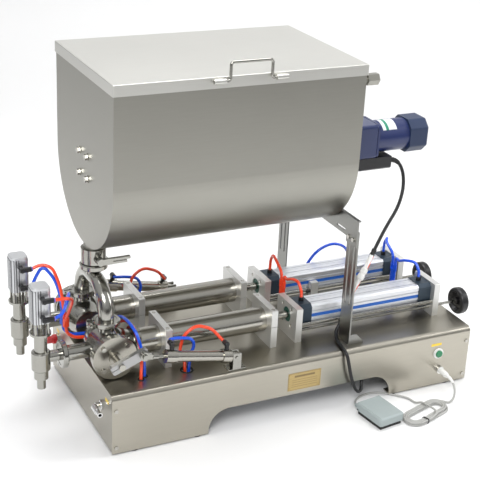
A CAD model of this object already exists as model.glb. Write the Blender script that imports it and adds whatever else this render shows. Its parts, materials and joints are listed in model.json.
# %% [markdown]
# # Two-line piston filler: looks
# The machine's solids come from CAD and never move here. This file adds what CAD does not hold: finishes,
# cables, labels, collars and the studio. Every place is given in the machine's own drawing measures and turned
# into scene metres from the CAD boxes, so it follows the CAD model's place.

# %% Load the CAD frame
import json
import math
import bpy
from mathutils import Matrix, Vector


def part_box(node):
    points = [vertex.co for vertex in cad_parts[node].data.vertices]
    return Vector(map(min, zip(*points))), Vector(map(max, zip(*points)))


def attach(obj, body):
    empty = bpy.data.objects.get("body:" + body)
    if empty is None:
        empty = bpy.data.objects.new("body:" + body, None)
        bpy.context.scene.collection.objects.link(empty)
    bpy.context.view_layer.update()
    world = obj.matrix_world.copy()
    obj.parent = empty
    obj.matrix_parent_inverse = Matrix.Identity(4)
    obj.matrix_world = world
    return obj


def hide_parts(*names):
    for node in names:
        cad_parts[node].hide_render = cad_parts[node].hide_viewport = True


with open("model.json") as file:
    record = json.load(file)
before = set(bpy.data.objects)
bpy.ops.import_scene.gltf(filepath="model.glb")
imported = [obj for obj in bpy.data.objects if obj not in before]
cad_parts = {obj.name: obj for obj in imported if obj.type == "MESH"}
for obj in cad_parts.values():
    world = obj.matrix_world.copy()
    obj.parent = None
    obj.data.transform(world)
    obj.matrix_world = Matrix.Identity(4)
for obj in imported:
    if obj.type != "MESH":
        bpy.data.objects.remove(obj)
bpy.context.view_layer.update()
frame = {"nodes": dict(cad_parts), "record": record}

# %% [markdown]
# ## One place for every measure
# The machine was drawn in millimetres with X 0 at the nozzle-end panel, Y 0 on the middle line and Z 0 at the
# lower edge of the base cover. Two corners of the cover's box are enough to turn such a point into scene metres.

# %% Drawing millimetres to scene metres
base_low, base_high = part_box("base_cover")
MIDDLE_Y = (base_low.y + base_high.y) / 2


def at(x, y, z):
    return Vector((base_low.x + x / 1000, MIDDLE_Y + y / 1000, base_low.z + z / 1000))


AXIS_Z = 213.0
LINES = {"near": -90.0, "far": 90.0}
print("base cover corner", [round(value, 4) for value in base_low])

# %% [markdown]
# ## The camera
# The camera stands in front of the nozzle end, a little above the hopper, and looks down at the machine. Its
# place and turn are written as three directions: right, up and back, the columns of its matrix.

# %% Camera
camera_data = bpy.data.cameras.new("studio_camera")
camera_data.sensor_width = 36.0
camera_data.lens = 88.7
camera_data.clip_end = 50.0
camera = bpy.data.objects.new("studio_camera", camera_data)
bpy.context.scene.collection.objects.link(camera)
right = Vector((0.9013, -0.4307, 0.0456)).normalized()
forward = Vector((0.41237, 0.82127, -0.39429)).normalized()
up = right.cross(forward).normalized()
right = forward.cross(up).normalized()
turn = Matrix((right, up, -forward)).transposed().to_4x4()
camera.matrix_world = Matrix.Translation(at(-816.12, -2475.86, 1587.37)) @ turn
bpy.context.scene.camera = camera
print("camera at", [round(value, 3) for value in camera.location])

# %% [markdown]
# ## Cords first
# A cord is a curve with a round bevel, whose thickness is set at each point. The same route points as in CAD
# make a quadratic NURBS curve, which touches each straight run at its middle, so the curve and the CAD tube lie
# in each other.

# %% A round cord through route points


def route_curve(name, points, radius):
    curve = bpy.data.curves.new(name, "CURVE")
    curve.dimensions = "3D"
    curve.bevel_depth = 1.0
    curve.bevel_resolution = 5
    curve.resolution_u = 8
    curve.use_fill_caps = True
    spline = curve.splines.new("NURBS")
    spline.points.add(len(points) - 1)
    for spot, point in zip(spline.points, points):
        spot.co = (*point, 1.0)
        spot.radius = radius
    spline.order_u = 3
    spline.use_endpoint_u = True
    piece = bpy.data.objects.new(name, curve)
    bpy.context.scene.collection.objects.link(piece)
    return piece


def centre_line(piece):
    """The points of a curve's own line, read from a copy without its bevel."""
    copy = piece.data.copy()
    copy.bevel_depth = 0.0
    holder = bpy.data.objects.new("measure", copy)
    bpy.context.scene.collection.objects.link(holder)
    bpy.context.view_layer.update()
    mesh = holder.evaluated_get(bpy.context.evaluated_depsgraph_get()).to_mesh()
    points = [vertex.co.copy() for vertex in mesh.vertices]
    bpy.data.objects.remove(holder)
    bpy.data.curves.remove(copy)
    return points


def line_length(points):
    return sum((b - a).length for a, b in zip(points, points[1:]))


# %% [markdown]
# The drive's cable leaves the terminal box, hangs in a wide bow, passes behind the support post, goes over
# the base's front edge and turns back in under the base through the front arch.

# %% Drive cable
DRIVE_CABLE_RADIUS = 0.0045
drive_exit = at(846.8, -20, 576)
drive_route = [(846.8, -20, 576), (860, -21, 575), (876, -26, 560), (884, -34, 530), (878, -46, 492),
               (854, -64, 454), (806, -90, 418), (764, -114, 376), (727, -134, 333), (700, -143, 298),
               (678, -145, 262), (667, -145, 225), (659, -144.5, 190), (643, -149, 172), (632, -172, 163),
               (626, -200, 161), (624, -224, 160), (626, -241, 151), (631, -247, 122), (639, -248, 88),
               (652, -247, 54), (668, -243, 34), (684, -232, 32), (693, -217, 48), (694, -209, 67.5)]
drive_cable = route_curve("drive_cable", [at(*point) for point in drive_route], DRIVE_CABLE_RADIUS)
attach(drive_cable, "frame")
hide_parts("motor_cable")
drive_line = centre_line(drive_cable)

# %% [markdown]
# The pedal's cable is put away as a flat hank on the floor. It comes from its plug, winds six turns in two
# layers of three, crosses over the hank once and runs on to the pedal. A turn is a long loop: two straight
# runs and two half circles. Going to the next ring or layer happens on one end only, like a real hank.

# %% Pedal cable with its hank
PEDAL_CABLE_RADIUS = 0.00275
CABLE_STEP = 5.75
HANK_TURN = math.radians(18.5)
HANK_CENTRE = (812.0, -347.0)
HALF_RUN = 47.0
OUTER_RING = 28.8
FLOOR_Z = -5.0
LOW = FLOOR_Z + 1000 * PEDAL_CABLE_RADIUS + 0.4


def hank_point(u, v, z):
    return (HANK_CENTRE[0] + u * math.cos(HANK_TURN) - v * math.sin(HANK_TURN),
            HANK_CENTRE[1] + u * math.sin(HANK_TURN) + v * math.cos(HANK_TURN), z)


def smooth(share):
    share = max(0.0, min(1.0, share))
    return share * share * (3 - 2 * share)


hank_rings = [(0, 0), (1, 0), (2, 0), (2, 1), (1, 1), (0, 1)]
hank_route = []
for number, (ring, layer) in enumerate(hank_rings):
    next_ring, next_layer = hank_rings[min(number + 1, 5)]
    stops = [("run", 30), ("run", 0), ("run", -30)]
    stops += [("left", angle) for angle in (90, 126, 162, 198, 234, 270)]
    stops += [("back", -30), ("back", 0), ("back", 30)]
    stops += [("right", angle) for angle in (-90, -54, -18, 18, 54, 90)]
    for side, value in stops:
        share = smooth((value + 60) / 120) if side == "right" and number < 5 else 0.0
        radius = OUTER_RING - CABLE_STEP * (ring + (next_ring - ring) * share)
        z = LOW + CABLE_STEP * (layer + (next_layer - layer) * share)
        if number == 5 and side in ("back", "right"):
            continue
        if side == "run":
            hank_route.append(hank_point(value, radius, z))
        elif side == "back":
            hank_route.append(hank_point(value, -radius, z))
        else:
            centre = -HALF_RUN if side == "left" else HALF_RUN
            angle = math.radians(value)
            hank_route.append(hank_point(centre + radius * math.cos(angle), radius * math.sin(angle), z))
top_layer = LOW + CABLE_STEP
plug_run = [(925, -280.1, 45), (924.5, -291.5, 44), (923, -307.5, 36), (920, -318.5, 22), (914, -323.5, 7),
            (901, -325.5, LOW + 1)]
plug_run += [hank_point(87, 0, LOW), hank_point(83, 13, LOW), hank_point(72, 25, LOW), hank_point(55, 29.2, LOW)]
cross_run = [hank_point(-30, -29.5, top_layer + 0.5), hank_point(-12, -31.5, top_layer + 2.5),
             hank_point(4, -30, top_layer + 4.8), hank_point(15, -22, top_layer + 5.9),
             hank_point(19, -9, top_layer + 6), hank_point(20.5, 8, top_layer + 6),
             hank_point(21, 22, top_layer + 6), hank_point(21, 33, top_layer + 4.6),
             hank_point(21, 41, top_layer - 1), hank_point(21.5, 50, LOW + 0.6), hank_point(22, 60, LOW)]
pedal_run = [(812, -268, LOW), (800, -252, LOW), (784, -237, LOW), (760, -214, LOW), (726, -204, LOW),
             (692, -212, LOW), (668, -231, LOW), (661.4, -252.9, LOW + 2.5), (662.2, -264.4, 3)]
pedal_route = plug_run + hank_route + cross_run + pedal_run
pedal_cable = route_curve("pedal_cable_run", [at(*point) for point in pedal_route], PEDAL_CABLE_RADIUS)
pedal_cable.data.bevel_resolution = 3
pedal_cable.data.resolution_u = 5
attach(pedal_cable, "frame")
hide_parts("pedal_cable", "cable_hank")
pedal_line = centre_line(pedal_cable)
at(*pedal_route[0])

# %% [markdown]
# ## Finishes
# Every finish is worked out by shader nodes from the point on the object, so nothing needs unwrapping. The
# small class below stands for one node output. Python's own signs then write the maths: `1 - mask` makes a
# Math node. Only colour, roughness, metal share and bump follow the surface; the rest are plain numbers.

# %% Shader maths in plain Python


class Wire:
    """One output socket, with arithmetic."""

    def __init__(self, tree, socket):
        self.tree = tree
        self.socket = socket

    def node(self, kind, values=None, out=0, **settings):
        made = self.tree.nodes.new(kind)
        for setting, value in settings.items():
            if setting == "stops":
                ramp = made.color_ramp
                ramp.elements[0].position, ramp.elements[0].color = value[0][0], (*value[0][1], 1)
                ramp.elements[1].position, ramp.elements[1].color = value[-1][0], (*value[-1][1], 1)
                for place, color in value[1:-1]:
                    ramp.elements.new(place).color = (*color, 1)
            else:
                setattr(made, setting, value)
        for key, value in (values or {}).items():
            if isinstance(value, Wire):
                self.tree.links.new(value.socket, made.inputs[key])
            elif value is not None:
                made.inputs[key].default_value = value
        return Wire(self.tree, made.outputs[out])

    def math(self, operation, first, second=None):
        return self.node("ShaderNodeMath", {0: first, 1: second}, operation=operation)

    def __add__(self, other):
        return self.math("ADD", self, other)

    __radd__ = __add__

    def __sub__(self, other):
        return self.math("SUBTRACT", self, other)

    def __rsub__(self, other):
        return self.math("SUBTRACT", other, self)

    def __mul__(self, other):
        return self.math("MULTIPLY", self, other)

    __rmul__ = __mul__

    def above(self, limit):
        return self.math("GREATER_THAN", self, limit)

    def near(self, value, half):
        """1 within half of a value, 0 elsewhere."""
        distance = self.math("ABSOLUTE", self - value)
        return self.math("LESS_THAN", distance, half)

    def noise(self, scale, detail=3.0, stretch=(1, 1, 1)):
        """A noise value from a place on the object; stretch draws it out into brushing lines."""
        place = self.node("ShaderNodeMapping", {"Vector": self, "Scale": stretch})
        return self.node("ShaderNodeTexNoise", {"Vector": place, "Scale": scale, "Detail": detail})

    def mix(self, dark, light):
        """A colour between two, by this value."""
        return self.node("ShaderNodeMix", {0: self, 6: dark, 7: light}, out=2, data_type="RGBA")

    def axis(self, name):
        return self.node("ShaderNodeSeparateXYZ", {0: self}, out="XYZ".index(name))


def rgb(red, green, blue):
    return (red, green, blue, 1.0)


def new_finish(name):
    """A material with its Principled shader, and the wire of the place on the object."""
    finish = bpy.data.materials.new(name)
    finish.use_nodes = True
    tree = finish.node_tree
    shader = tree.nodes["Principled BSDF"]
    place = Wire(tree, tree.nodes.new("ShaderNodeTexCoord").outputs["Object"])
    return finish, tree, shader, place


def plug_in(tree, shader, **values):
    names = {"color": "Base Color", "rough": "Roughness", "metal": "Metallic", "normal": "Normal",
             "coat": "Coat Weight"}
    for key, value in values.items():
        socket = shader.inputs[names[key]]
        if isinstance(value, Wire):
            tree.links.new(value.socket, socket)
        else:
            socket.default_value = value


def bump(height, distance, strength=1.0):
    return height.node("ShaderNodeBump", {"Height": height, "Distance": distance, "Strength": strength})


# %% [markdown]
# Sheet steel on this machine is brushed: fine lines all one way, broken by broad soft clouds where hands and
# cloths have been. One recipe with other numbers gives the covers, the hopper, the lid and turned tubes.

# %% Brushed and polished steel


def steel(name, color, rough, lines, cloud=7.0, depth=0.00003, spread=0.10, tint=0.10):
    finish, tree, shader, place = new_finish(name)
    brushing = place.noise(260, 4, lines)
    clouds = place.noise(cloud, 3)
    smudges = place.noise(cloud * 6, 5)
    dark = rgb(*(value * (1 - tint) for value in color))
    light = rgb(*(min(1.0, value * (1 + tint * 0.7)) for value in color))
    shade = (clouds * 0.55 + brushing * 0.45).mix(dark, light)
    roughness = rough - spread / 2 + spread * (brushing * 0.5 + clouds * 0.3 + smudges * 0.2)
    plug_in(tree, shader, color=shade, rough=roughness, metal=1.0, normal=bump(brushing, depth, 0.5))
    return finish


finishes = {
    "hopper_steel": steel("hopper_steel", (0.34, 0.333, 0.30), 0.36, (0.06, 1, 1), cloud=3.0),
    "lid_steel": steel("lid_steel", (0.66, 0.655, 0.62), 0.40, (0.06, 1, 1), cloud=3.0),
    "base_steel": steel("base_steel", (0.45, 0.425, 0.365), 0.30, (0.05, 1, 1), cloud=4.0),
    "end_steel": steel("end_steel", (0.42, 0.40, 0.35), 0.34, (1, 0.05, 1), cloud=4.0),
    "frame_steel": steel("frame_steel", (0.27, 0.27, 0.255), 0.33, (1, 1, 0.06)),
    "barrel_steel": steel("barrel_steel", (0.46, 0.445, 0.40), 0.22, (1, 0.3, 0.3), cloud=12),
    "polished_steel": steel("polished_steel", (0.37, 0.365, 0.335), 0.19, (1, 1, 1), cloud=20, depth=0.00001,
                            spread=0.08, tint=0.08),
    "cover_steel": steel("cover_steel", (0.40, 0.385, 0.34), 0.26, (1, 1, 1), cloud=14, spread=0.12),
    "lever_steel": steel("lever_steel", (0.42, 0.42, 0.42), 0.30, (0.3, 1, 0.3), cloud=20),
    "screw_steel": steel("screw_steel", (0.48, 0.47, 0.43), 0.25, (1, 1, 1), cloud=60),
}
print("steels", sorted(finishes))

# %% [markdown]
# The light plates are milled aluminium with a fine matt blast. The air cylinder tubes are clear anodised and
# carry one blue stripe along the front, which is part of the finish: it is found by height and side alone.

# %% Aluminium, anodised and cast metal


def fine_metal(name, color, rough, grain=900.0, depth=0.00004, metal=0.9, patch=9.0):
    finish, tree, shader, place = new_finish(name)
    speckle = place.noise(grain, 2)
    patches = place.noise(patch, 3)
    dark = rgb(*(value * 0.88 for value in color))
    shade = (patches * 0.6 + speckle * 0.4).mix(dark, rgb(*color))
    plug_in(tree, shader, color=shade, rough=rough + 0.12 * (speckle - 0.5), metal=metal,
            normal=bump(speckle, depth, 0.4))
    return finish


finishes["plate_aluminium"] = fine_metal("plate_aluminium", (0.74, 0.74, 0.72), 0.42, metal=0.75)
finishes["slate_caps"] = fine_metal("slate_caps", (0.030, 0.048, 0.070), 0.38, metal=0.35)
finishes["valve_bank_metal"] = fine_metal("valve_bank_metal", (0.62, 0.63, 0.65), 0.40)



def grooved_aluminium():
    """The nozzle actuators: fine grooves run up all four sides, darker where dirt stays in them."""
    finish, tree, shader, place = new_finish("actuator_steel")
    speckle = place.noise(700, 2)
    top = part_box("nozzle_actuators")[1].z
    below_cap = 1 - place.axis("Z").above(top - 0.006)
    grooves = None
    for axis, centres in (("X", [-145]), ("Y", LINES.values())):
        for centre in centres:
            for offset in (-15, -9, -3, 3, 9, 15):
                value = at(centre + offset, 0, 0).x if axis == "X" else at(0, centre + offset, 0).y
                line = place.axis(axis).near(value, 0.0011)
                grooves = line if grooves is None else grooves + line
    grooves = grooves.math("MINIMUM", grooves, 1.0) * below_cap
    shade = grooves.mix(speckle.mix(rgb(0.56, 0.57, 0.59), rgb(0.68, 0.69, 0.70)), rgb(0.16, 0.16, 0.17))
    plug_in(tree, shader, color=shade, rough=0.30 + 0.12 * speckle, metal=0.8, normal=bump(1 - grooves, 0.0006, 0.6))
    return finish


finishes["actuator_steel"] = grooved_aluminium()
axis_height = at(0, 0, AXIS_Z).z


def striped_tube():
    finish, tree, shader, place = new_finish("anodised_tube")
    lines = place.noise(420, 3, (0.04, 1, 1))
    band = place.axis("Z").near(axis_height, 0.0046)
    near_front = place.axis("Y").near(at(0, -120, 0).y, 0.0012)
    far_front = place.axis("Y").near(at(0, 60, 0).y, 0.0012)
    stripe = band * (near_front + far_front)
    silver = lines.mix(rgb(0.74, 0.76, 0.80), rgb(0.86, 0.87, 0.90))
    shade = stripe.mix(silver, rgb(0.02, 0.13, 0.52))
    plug_in(tree, shader, color=shade, rough=0.30 + 0.12 * lines, metal=0.85 - 0.7 * stripe,
            normal=bump(lines, 0.00003, 0.4))
    return finish


finishes["anodised_tube"] = striped_tube()
print("stripe height", round(axis_height, 4))

# %% [markdown]
# Plastics and paint have no lines. Moulded parts get a fine grain and a slightly uneven gloss, glossy tube
# gets almost none, and paint gets the soft dimples of a spray gun. Rubber is matt with a little dust.

# %% Plastics, rubber, paint and brass


WORN_LIGHTER = 0.25


def moulded(name, color, rough, grain=700.0, depth=0.00005, clear=0.0):
    finish, tree, shader, place = new_finish(name)
    texture = place.noise(grain, 2)
    wear = place.noise(18, 4)
    light = rgb(*(value * (1 + WORN_LIGHTER) + 0.002 for value in color))
    shade = (wear * 0.7 + texture * 0.3).mix(rgb(*color), light)
    plug_in(tree, shader, color=shade, rough=rough + 0.16 * (wear - 0.5), metal=0.0,
            normal=bump(texture, depth, 0.35), coat=clear)
    return finish


finishes["black_plastic"] = moulded("black_plastic", (0.007, 0.007, 0.008), 0.34)
finishes["black_rubber"] = moulded("black_rubber", (0.009, 0.009, 0.009), 0.60, grain=420, depth=0.0001)
finishes["green_gland"] = moulded("green_gland", (0.012, 0.085, 0.060), 0.42)
finishes["green_button"] = moulded("green_button", (0.004, 0.17, 0.065), 0.22, depth=0.00001, clear=0.4)
finishes["red_knob"] = moulded("red_knob", (0.50, 0.020, 0.025), 0.30)
finishes["pedal_grey"] = moulded("pedal_grey", (0.30, 0.345, 0.345), 0.46, grain=300, depth=0.00012)
finishes["motor_blue"] = moulded("motor_blue", (0.010, 0.019, 0.085), 0.34, grain=240, depth=0.00010, clear=0.2)
finishes["fan_blue"] = moulded("fan_blue", (0.010, 0.022, 0.062), 0.40, grain=400, depth=0.00006)
finishes["gearbox_metal"] = moulded("gearbox_metal", (0.011, 0.021, 0.085), 0.32, grain=240, depth=0.00010, clear=0.3)
finishes["grey_cable"] = moulded("grey_cable", (0.36, 0.36, 0.345), 0.45, grain=260, depth=0.00004)
finishes["black_cable"] = moulded("black_cable", (0.006, 0.006, 0.007), 0.44, grain=260, depth=0.00006)
finishes["blue_tube"] = moulded("blue_tube", (0.006, 0.075, 0.62), 0.22, grain=90, depth=0.00001, clear=0.4)
finishes["red_tube"] = moulded("red_tube", (0.80, 0.055, 0.014), 0.24, grain=90, depth=0.00001, clear=0.4)
finishes["violet_collar"] = moulded("violet_collar", (0.12, 0.10, 0.42), 0.32)
finishes["white_plastic"] = moulded("white_plastic", (0.72, 0.72, 0.70), 0.38)
finishes["yellow_label"] = moulded("yellow_label", (0.80, 0.56, 0.05), 0.34, grain=120, depth=0.00001)
finishes["white_label"] = moulded("white_label", (0.74, 0.75, 0.74), 0.36, grain=120, depth=0.00001)
finishes["green_label"] = moulded("green_label", (0.02, 0.24, 0.12), 0.36, grain=120, depth=0.00001)
finishes["panel_metal"] = steel("panel_metal", (0.78, 0.78, 0.77), 0.16, (1, 1, 1), cloud=30, spread=0.08)


def brass_plate():
    """A brass plate with a printed frame and empty ruled lines; it holds no words."""
    finish, tree, shader, place = new_finish("brass_label")
    low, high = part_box("nameplate")
    centre_x = (low.x + high.x) / 2
    half_x = (high.x - low.x) / 2
    lines = place.noise(500, 3, (0.05, 1, 1))
    height = place.axis("Z") - low.z
    width = place.axis("X")
    ink = height.near(0.039, 0.0028) * width.near(centre_x, half_x * 0.62)
    for row in range(4):
        ink = ink + height.near(0.0105 + 0.0062 * row, 0.00045) * width.near(centre_x, half_x * 0.78)
    border = 1 - width.near(centre_x, half_x - 0.0022) * height.near(0.0245, 0.0223)
    inner = width.near(centre_x, half_x - 0.0014) * height.near(0.0245, 0.0231)
    marks = (ink + border * inner).math("MINIMUM", ink + border * inner, 1.0)
    metal_color = lines.mix(rgb(0.42, 0.31, 0.13), rgb(0.56, 0.43, 0.21))
    shade = marks.mix(metal_color, rgb(0.22, 0.155, 0.065))
    plug_in(tree, shader, color=shade, rough=0.30 + 0.14 * lines, metal=0.9 - 0.8 * marks,
            normal=bump(lines, 0.00002, 0.4))
    return finish


finishes["brass_label"] = brass_plate()
print("finishes", len(finishes))

# %% [markdown]
# Each CAD node already has a slot with the record's slot name. Giving the node the finish of that name is
# therefore one loop over the record. Nodes that hold pieces in two colours get a second pass further down.

# %% Put the finishes on the CAD nodes
slot_of = {part["node"]: part["material_slot"] for part in frame["record"]["subparts"]}
for node, piece in frame["nodes"].items():
    wanted = slot_of[node]
    piece.data.materials.clear()
    piece.data.materials.append(finishes["blue_tube" if wanted == "air_tube" else wanted])
drive_cable.data.materials.append(finishes["black_cable"])
pedal_cable.data.materials.append(finishes["grey_cable"])
print("painted nodes", len(slot_of))


# %% Two colours in one node


def loose_parts(mesh):
    """The polygon numbers of each separate piece of a mesh."""
    owner = list(range(len(mesh.vertices)))

    def root(index):
        while owner[index] != index:
            owner[index] = owner[owner[index]]
            index = owner[index]
        return index

    seen = {}
    for vertex in mesh.vertices:
        key = tuple(round(value, 6) for value in vertex.co)
        first = seen.setdefault(key, vertex.index)
        owner[root(vertex.index)] = root(first)
    for polygon in mesh.polygons:
        start = root(polygon.vertices[0])
        for index in polygon.vertices[1:]:
            owner[root(index)] = start
    groups = {}
    for polygon in mesh.polygons:
        groups.setdefault(root(polygon.vertices[0]), []).append(polygon.index)
    return list(groups.values())


def paint_parts(node, choose):
    """Give each separate piece of a node the finish that choose(low, high) names, from its box."""
    piece = frame["nodes"][node]
    names, parts = [], []
    for polygons in loose_parts(piece.data):
        points = [piece.data.vertices[v].co for p in polygons for v in piece.data.polygons[p].vertices]
        low = Vector([min(point[axis] for point in points) for axis in range(3)])
        high = Vector([max(point[axis] for point in points) for axis in range(3)])
        name = choose(low, high)
        if name not in names:
            names.append(name)
        parts.append((polygons, names.index(name)))
    piece.data.materials.clear()
    for name in names:
        piece.data.materials.append(finishes[name])
    for polygons, index in parts:
        for polygon in polygons:
            piece.data.polygons[polygon].material_index = index
    print(node, "parts", len(parts), "finishes", names)


def actuator_tube_color(low, high):
    """Small parts are elbows; the tube that reaches the rear elbow is the red one."""
    if high.z - low.z < 0.04:
        return "black_plastic"
    return "red_tube" if high.x - low.x > 0.1 else "blue_tube"


def air_tube_color(low, high):
    """Red tubes feed the cylinders' front caps, the upper nozzle fittings and the front tee."""
    if low.x > at(400, 0, 0).x:
        return "red_tube" if high.x < at(650, 0, 0).x else "blue_tube"
    if high.x > at(50, 0, 0).x:
        return "red_tube" if low.y < at(0, -172, 0).y else "blue_tube"
    inner = high.y < at(0, 0, 0).y if low.y < at(0, -50, 0).y else low.y < at(0, 7, 0).y
    return "red_tube" if inner else "blue_tube"


def tee_color(low, high):
    """The branch pieces between tubes take their tubes' colour; elbows and ports are black."""
    if low.x > at(500, 0, 0).x and high.z - low.z > 0.03:
        return "red_tube" if low.x < at(700, 0, 0).x else "blue_tube"
    if high.x < at(0, 0, 0).x and high.z - low.z > 0.025:
        return "red_tube" if low.y < at(0, -10, 0).y else "blue_tube"
    return "black_plastic"


def drive_color(low, high):
    return "fan_blue" if low.x > at(880, 0, 0).x else "motor_blue"


def wheel_color(low, high):
    return "polished_steel" if high.x - low.x > 0.2 else "black_plastic"


def rotor_color(low, high):
    return "barrel_steel" if high.x - low.x < 0.065 else "lever_steel"


def panel_color(low, high):
    if high.x > at(900, 0, 0).x and low.z > at(0, 0, 70).z:
        return "white_plastic"
    return "panel_metal"


for line in LINES:
    paint_parts(f"actuator_tubes_{line}", actuator_tube_color)
    paint_parts(f"handwheel_{line}", wheel_color)
    paint_parts(f"valve_lever_{line}", rotor_color)
    paint_parts(f"sensor_carriage_{line}", lambda low, high: "plate_aluminium")
paint_parts("air_tubes", air_tube_color)
paint_parts("tube_fittings", tee_color)
paint_parts("motor_body", drive_color)
paint_parts("valve_covers", lambda low, high: "cover_steel")
paint_parts("panel_fittings", panel_color)
paint_parts("pedal_plug", lambda low, high: "white_plastic")

# %% [markdown]
# ## Small pieces
# Labels, grommets, collars and strain reliefs are turned or drawn along a line. Two helpers do all of them: one
# turns a profile about an axis, the other draws a section along points and lets its size change on the way.

# %% Turned and drawn pieces


def finish_piece(name, mesh, finish_names, body, smooth=True):
    """Close up a new mesh: its finishes, its body, and the slot a scene may repaint it from."""
    for polygon in mesh.polygons:
        polygon.use_smooth = smooth
    for finish_name in finish_names:
        mesh.materials.append(finishes[finish_name])
    piece = bpy.data.objects.new(name, mesh)
    bpy.context.scene.collection.objects.link(piece)
    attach(piece, body)
    return piece


def draw_along(name, path, radius_at, finish_names, body, section=None, count=24, pick=None):
    """Draw a closed section along a path; radius_at(share) gives its size, pick(angle) its finish."""
    verts, faces, owners = [], [], []
    side = (path[1] - path[0]).orthogonal().normalized()
    for number, point in enumerate(path):
        ahead = (path[min(number + 1, len(path) - 1)] - path[max(number - 1, 0)]).normalized()
        side = (side - ahead * side.dot(ahead)).normalized()
        other = ahead.cross(side)
        share = number / (len(path) - 1)
        for step in range(count):
            angle = 2 * math.pi * step / count
            radius = radius_at(share) * (section(angle, share) if section else 1.0)
            verts.append(point + side * radius * math.cos(angle) + other * radius * math.sin(angle))
    for number in range(len(path) - 1):
        for step in range(count):
            ahead_step = (step + 1) % count
            faces.append((number * count + step, number * count + ahead_step,
                          (number + 1) * count + ahead_step, (number + 1) * count + step))
            owners.append(pick(step) if pick else 0)
    last = (len(path) - 1) * count
    faces.append(tuple(reversed(range(count))))
    faces.append(tuple(last + step for step in range(count)))
    mesh = bpy.data.meshes.new(name)
    mesh.from_pydata([tuple(vert) for vert in verts], [], faces)
    for polygon, owner in zip(mesh.polygons, owners):
        polygon.material_index = owner
    return finish_piece(name, mesh, finish_names, body)


def turn_ring(name, centre, axis, profile, finish_name, body, count=32):
    """Turn a closed profile of (radius, height) points in millimetres about an axis through centre."""
    axis = Vector(axis).normalized()
    side = axis.orthogonal().normalized()
    other = axis.cross(side)
    verts = []
    for step in range(count):
        angle = 2 * math.pi * step / count
        outward = side * math.cos(angle) + other * math.sin(angle)
        verts += [centre + outward * radius / 1000 + axis * height / 1000 for radius, height in profile]
    size = len(profile)
    faces = [(step * size + i, step * size + (i + 1) % size, (step + 1) % count * size + (i + 1) % size,
              (step + 1) % count * size + i) for step in range(count) for i in range(size)]
    mesh = bpy.data.meshes.new(name)
    mesh.from_pydata([tuple(vert) for vert in verts], [], faces)
    return finish_piece(name, mesh, [finish_name], body)


def part_of_line(points, start, length, count=24):
    """Evenly spaced points along part of a line, by distance in metres from its first point."""
    found, walked, number = [], 0.0, 0
    for step in range(count):
        wanted = start + length * step / (count - 1)
        while number < len(points) - 2 and walked + (points[number + 1] - points[number]).length < wanted:
            walked += (points[number + 1] - points[number]).length
            number += 1
        gap = points[number + 1] - points[number]
        found.append(points[number] + gap * ((wanted - walked) / gap.length))
    return found


print("drive line points", len(drive_line), "pedal line points", len(pedal_line))

# %% [markdown]
# Where a lead enters a housing it is held by a ribbed rubber sleeve, thick at the housing and thin at the end.
# Drawing it along the cable's own line keeps it on the cable through the bend.

# %% Strain reliefs


def strain_relief(name, line, length, thick, thin, finish_name):
    def radius_at(share):
        rib = 0.35 * (1 if math.sin(share * math.pi * 10) > 0 else -1) if 0.12 < share < 0.9 else 0.0
        return (thick + (thin - thick) * share + rib) / 1000
    return draw_along(name, part_of_line(line, 0.0, length, 61), radius_at, [finish_name], "frame")


strain_relief("drive_relief", drive_line, 0.026, 7.0, 5.2, "black_rubber")
strain_relief("plug_relief", pedal_line, 0.022, 4.4, 3.3, "white_plastic")
strain_relief("pedal_relief", list(reversed(pedal_line)), 0.021, 5.4, 3.4, "pedal_grey")

# %% [markdown]
# Half way down, the drive's black sleeve ends and its thin wires meet the machine's own lead in a white plug
# coupling. The wires are one fluted piece, each flute with its own colour, twisted round the lead.

# %% Wires and coupling on the drive's lead
WIRE_COLORS = ["white_plastic", "blue_tube", "green_label", "red_tube", "white_plastic"]
joint_start = next(i for i, p in enumerate(drive_line) if p.z < at(0, 0, 362).z)
joint_from = line_length(drive_line[:joint_start + 1])
WIRES_LENGTH = 0.125
joint_line = part_of_line(drive_line, joint_from, WIRES_LENGTH, 60)
draw_along("drive_wires", joint_line, lambda share: 0.0051, WIRE_COLORS, "frame",
           section=lambda angle, share: 1 + 0.28 * abs(math.sin(2.5 * (angle + 5 * share))),
           count=60, pick=lambda step: step * 5 // 60)
draw_along("drive_sleeve_end", part_of_line(drive_line, joint_from - 0.016, 0.019, 20),
           lambda share: 0.0062 + 0.0004 * math.sin(share * 9), ["black_rubber"], "frame")


def coupling_section(angle, share):
    """A rounded square."""
    return 1 / (abs(math.cos(angle)) ** 4 + abs(math.sin(angle)) ** 4) ** 0.25


def coupling_radius(share):
    step = 0.0012 if 0.42 < share < 0.58 or share < 0.06 or share > 0.94 else 0.0
    return 0.0088 - step


draw_along("drive_coupling", part_of_line(drive_line, joint_from + 0.042, 0.032, 50), coupling_radius,
           ["white_plastic"], "frame", section=coupling_section, count=40)
print("wires from", [round(value, 3) for value in joint_line[0]])

# %% [markdown]
# The tubes go through the base cover in rubber grommets, and push-in fittings end in a violet release collar.

# %% Grommets and collars
top_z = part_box("base_cover")[1].z
GROMMET = ((-1.2, 1.0), (0.6, 2.2), (2.6, 1.8), (3.0, 0.2), (-1.2, 0.1))


def grommet(name, x, y, hole):
    centre = at(x, y, 0)
    centre.z = BASE_TOP_Z
    turn_ring(name, centre, (0, 0, 1), [(hole + radius, height) for radius, height in GROMMET],
              "black_rubber", "frame")


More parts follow.
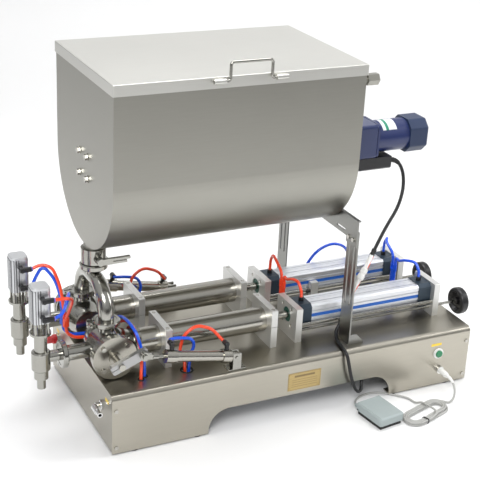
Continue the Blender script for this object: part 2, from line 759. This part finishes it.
BASE_TOP_Z = at(0, 0, 155).z
for number, (x, y, hole) in enumerate(((213, -172.3, 13.6), (213, 172.3, 13.6), (93, -175, 5.5), (106, -164, 5.5))):
    grommet(f"grommet_{number}", x, y, hole)
COLLAR = ((3.2, 0), (5.4, 0), (6.0, 1.0), (6.0, 2.6), (5.2, 3.6), (3.2, 3.6))
NOZZLE_FITTING_X, NOZZLE_FITTING_Y = -105, -38
for line, line_y in LINES.items():
    for number, z in enumerate((378, 330)):
        collar_place = at(NOZZLE_FITTING_X, line_y + NOZZLE_FITTING_Y, z)
        turn_ring(f"collar_{line}_{number}", collar_place, (1, 0, 0), COLLAR, "violet_collar", "frame")
print("base cover top", round(top_z, 4))

# %% [markdown]
# Labels are thin sheets that follow the surface they stick to. They stay blank: coloured fields and rules only.

# %% Labels


def sheet(name, corner, across, up_way, lift, finish_name, count=(8, 4)):
    """A thin label: a grid of points on its face, with its edge folded back to the surface."""
    columns, rows = count
    verts, faces = [], []
    for level in (0.0, 1.0):
        for row in range(rows + 1):
            for column in range(columns + 1):
                verts.append(corner + across * (column / columns) + up_way * (row / rows) + lift * level)
    size = (rows + 1) * (columns + 1)

    def index(level, row, column):
        return level * size + row * (columns + 1) + column

    for row in range(rows):
        for column in range(columns):
            for level in (0, 1):
                square = [index(level, row, column), index(level, row, column + 1),
                          index(level, row + 1, column + 1), index(level, row + 1, column)]
                faces.append(square if level else list(reversed(square)))
    rim = [(0, c) for c in range(columns)] + [(r, columns) for r in range(rows)]
    rim += [(rows, c) for c in range(columns, 0, -1)] + [(r, 0) for r in range(rows, 0, -1)]
    for (row, column), (next_row, next_column) in zip(rim, rim[1:] + rim[:1]):
        faces.append([index(0, row, column), index(0, next_row, next_column),
                      index(1, next_row, next_column), index(1, row, column)])
    mesh = bpy.data.meshes.new(name)
    mesh.from_pydata([tuple(vert) for vert in verts], [], faces)
    return finish_piece(name, mesh, [finish_name], "frame", smooth=False)


def millimetres(x, y, z):
    return Vector((x, y, z)) / 1000


front_y = (base_low.y - MIDDLE_Y) * 1000
THIN = 0.35
sheet("button_label", at(892, front_y + 0.02, 118), millimetres(32, 0, 0), millimetres(0, 0, 7),
      millimetres(0, -THIN, 0), "yellow_label")
sheet("selector_label", at(0, -206, 122), millimetres(0, 22, 0), millimetres(0, 0, 9),
      millimetres(-THIN, 0, 0), "yellow_label")
sheet("air_label", at(0, 172, 122), millimetres(0, 22, 0), millimetres(0, 0, 9),
      millimetres(-THIN, 0, 0), "yellow_label")
sheet("gearbox_label", at(703, -36, 683.9), millimetres(24, 0, 0), millimetres(0, 24, 0),
      millimetres(0, 0, THIN), "white_label")


def motor_label():
    """A printed sheet bent round the motor: white, with one green band and faint grey rules."""
    rows, columns = 16, 12
    verts = []
    for level in (42.0, 42.4):
        for row in range(rows + 1):
            angle = math.radians(-8 + 62 * row / rows)
            for column in range(columns + 1):
                verts.append(at(806 + 42 * column / columns, -level * math.sin(angle), 639 + level * math.cos(angle)))
    size = (rows + 1) * (columns + 1)
    faces = []
    for row in range(rows):
        for column in range(columns):
            first = row * (columns + 1) + column
            square = [first, first + 1, first + columns + 2, first + columns + 1]
            faces += [[i + size for i in reversed(square)], square]
    rim = [c for c in range(columns)] + [r * (columns + 1) + columns for r in range(rows)]
    rim += [rows * (columns + 1) + c for c in range(columns, 0, -1)] + [r * (columns + 1) for r in range(rows, 0, -1)]
    faces += [[a, a + size, b + size, b] for a, b in zip(rim, rim[1:] + rim[:1])]
    mesh = bpy.data.meshes.new("motor_label")
    mesh.from_pydata([tuple(vert) for vert in verts], [], faces)
    return finish_piece("motor_label", mesh, ["motor_print"], "frame")


def motor_print():
    finish, tree, shader, place = new_finish("motor_print")
    wear = place.noise(60, 3)
    band = place.axis("X").near(at(820, 0, 0).x, 0.0042)
    rules = None
    for x in (829, 833, 837, 841):
        rule = place.axis("X").near(at(x, 0, 0).x, 0.00035)
        rules = rule if rules is None else rules + rule
    paper = rules.mix(wear.mix(rgb(0.66, 0.68, 0.70), rgb(0.78, 0.79, 0.80)), rgb(0.45, 0.47, 0.50))
    plug_in(tree, shader, color=band.mix(paper, rgb(0.01, 0.22, 0.13)), rough=0.34 + 0.1 * wear, metal=0.0)
    return finish


finishes["motor_print"] = motor_print()
motor_label()
print("front face", round(front_y, 2))

# %% [markdown]
# Each cylinder has a small black reed sensor on its carriage, which tells where the stroke ends, and the hank
# of pedal cable is held by one tie.

# %% Sensors and tie
for line in LINES:
    low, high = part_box(f"sensor_carriage_{line}")
    middle = (low + high) / 2
    path = [Vector((low.x - 0.013 + 0.018 * step / 11, low.y + 0.006, middle.z)) for step in range(12)]
    draw_along(f"reed_sensor_{line}", path, lambda share: 0.0046 if 0.08 < share < 0.92 else 0.0038,
               ["black_plastic"], f"carriage_{line}", section=coupling_section, count=32)
TIE_STEPS = 40
TIE_MIDDLE_V, TIE_MIDDLE_Z = -23.1, 1.25
TIE_HALF_WIDTH, TIE_HALF_HEIGHT = 9.4, 6.2
TIE_BAND, TIE_THICKNESS = 4.4, 0.5
TIE_PLACE_U = -30
tie_path = []
for step in range(TIE_STEPS):
    angle = 2 * math.pi * step / TIE_STEPS
    v, height = math.cos(angle), math.sin(angle)
    bend = (abs(v) ** 6 + abs(height) ** 6) ** (1 / 6)
    tie_path.append((v / bend * TIE_HALF_WIDTH + TIE_MIDDLE_V, height / bend * TIE_HALF_HEIGHT + TIE_MIDDLE_Z))


def hank_tie():
    """A flat strap round the back run of the hank."""
    verts, faces = [], []
    half = TIE_BAND / 2
    for v, z in tie_path:
        for u, out in ((-half, 0.0), (half, 0.0), (half, TIE_THICKNESS), (-half, TIE_THICKNESS)):
            grow = Vector((v - TIE_MIDDLE_V, z - TIE_MIDDLE_Z)).normalized() * out
            verts.append(at(*hank_point(TIE_PLACE_U + u, v + grow.x, z + grow.y)))
    for step in range(TIE_STEPS):
        for i in range(4):
            following = (step + 1) % TIE_STEPS * 4
            faces.append((step * 4 + i, step * 4 + (i + 1) % 4, following + (i + 1) % 4, following + i))
    mesh = bpy.data.meshes.new("hank_tie")
    mesh.from_pydata([tuple(vert) for vert in verts], [], faces)
    return finish_piece("hank_tie", mesh, ["black_plastic"], "frame", smooth=False)


hank_tie()
print("small pieces done")

# %% [markdown]
# ## The studio
# A pale floor that curves up into a pale wall gives polished steel something calm to mirror. One large soft
# light stands high on the left, a weaker one on the right, and the surroundings fill the shadows.

# %% Floor and backdrop


def smooth_backdrop():
    rows = [(-6.0, 0.0), (2.2, 0.0)]
    rows += [(2.2 + 1.2 * math.sin(math.radians(a)), 1.2 - 1.2 * math.cos(math.radians(a))) for a in range(10, 91, 10)]
    rows += [(3.4, 5.0)]
    mesh = bpy.data.meshes.new("studio_floor")
    points = [(x, y, z) for y, z in rows for x in (-7.0, 7.0)]
    faces = [(2 * i, 2 * i + 1, 2 * i + 3, 2 * i + 2) for i in range(len(rows) - 1)]
    mesh.from_pydata(points, [], faces)
    for polygon in mesh.polygons:
        polygon.use_smooth = True
    piece = bpy.data.objects.new("studio_floor", mesh)
    piece.rotation_euler.z = math.radians(-26.7)
    bpy.context.scene.collection.objects.link(piece)
    return piece


backdrop = smooth_backdrop()
pale, pale_tree, pale_shader, pale_place = new_finish("pale_floor")
plug_in(pale_tree, pale_shader, color=pale_place.noise(2, 2).mix(rgb(0.84, 0.84, 0.84), rgb(0.87, 0.87, 0.87)),
        rough=0.75)
backdrop.data.materials.append(pale)

# %% Lights


def soft_light(name, place, target, size, power):
    data = bpy.data.lights.new(name, "AREA")
    data.shape = "RECTANGLE"
    data.size, data.size_y = size
    data.energy = power
    light = bpy.data.objects.new(name, data)
    bpy.context.scene.collection.objects.link(light)
    light.location = place
    light.rotation_euler = (Vector(target) - Vector(place)).to_track_quat("-Z", "Y").to_euler()
    return light


soft_light("key_light", (-1.7, -2.4, 2.7), (0, 0, 0.4), (1.5, 1.0), 70)
soft_light("right_light", (2.6, -1.0, 1.6), (0, 0, 0.4), (0.6, 1.8), 26)
soft_light("top_light", (0.2, 0.5, 3.2), (0, 0, 0.5), (2.6, 1.6), 75)

# %% [markdown]
# Polished steel only looks like steel when it has something dark to mirror. Dark cards stand around the
# studio where the camera never sees them; they show in reflections alone and throw no shadow.

# %% Dark cards for the reflections


def dark_card(name, place, target, width, height, tone):
    mesh = bpy.data.meshes.new(name)
    corners = [(-width / 2, -height / 2, 0), (width / 2, -height / 2, 0), (width / 2, height / 2, 0),
               (-width / 2, height / 2, 0)]
    mesh.from_pydata(corners, [], [(0, 1, 2, 3)])
    card = bpy.data.objects.new(name, mesh)
    bpy.context.scene.collection.objects.link(card)
    card.location = place
    card.rotation_euler = (Vector(target) - Vector(place)).to_track_quat("-Z", "Y").to_euler()
    finish, tree, shader, spot = new_finish(name)
    plug_in(tree, shader, color=spot.noise(1.5, 2).mix(rgb(*tone), rgb(*(value * 1.8 for value in tone))), rough=0.9)
    mesh.materials.append(finish)
    for flag in ("visible_camera", "visible_diffuse", "visible_shadow"):
        setattr(card, flag, False)
    return card


dark_card("card_front", (0.3, -3.4, 0.35), (0, 0, 0.4), 4.5, 0.9, (0.020, 0.018, 0.016))
dark_card("card_left", (-3.0, -0.6, 0.7), (0, 0, 0.5), 1.6, 1.5, (0.030, 0.028, 0.025))
dark_card("card_right", (3.2, -2.2, 0.7), (0, 0, 0.5), 1.4, 1.6, (0.030, 0.028, 0.025))
dark_card("card_over", (-0.6, -1.3, 3.0), (0, 0, 0.4), 1.2, 0.6, (0.035, 0.033, 0.030))
dark_card("card_back", (0.6, 3.0, 0.55), (0, 0, 0.4), 3.4, 0.45, (0.05, 0.048, 0.045))

world = bpy.data.worlds.new("studio_air")
world.use_nodes = True
sky = world.node_tree
sky_height = Wire(sky, sky.nodes.new("ShaderNodeTexCoord").outputs["Generated"]).axis("Z")
sky_ramp = sky_height.node(
    "ShaderNodeValToRGB", {0: sky_height},
    stops=[(0.0, (0.62, 0.61, 0.60)), (0.08, (0.40, 0.40, 0.40)), (0.30, (0.78, 0.79, 0.80)), (1.0, (1.0, 1.0, 1.0))])
sky.links.new(sky_ramp.socket, sky.nodes["Background"].inputs["Color"])
sky.nodes["Background"].inputs["Strength"].default_value = 0.72
bpy.context.scene.world = world
bpy.context.scene.view_settings.view_transform = "Standard"
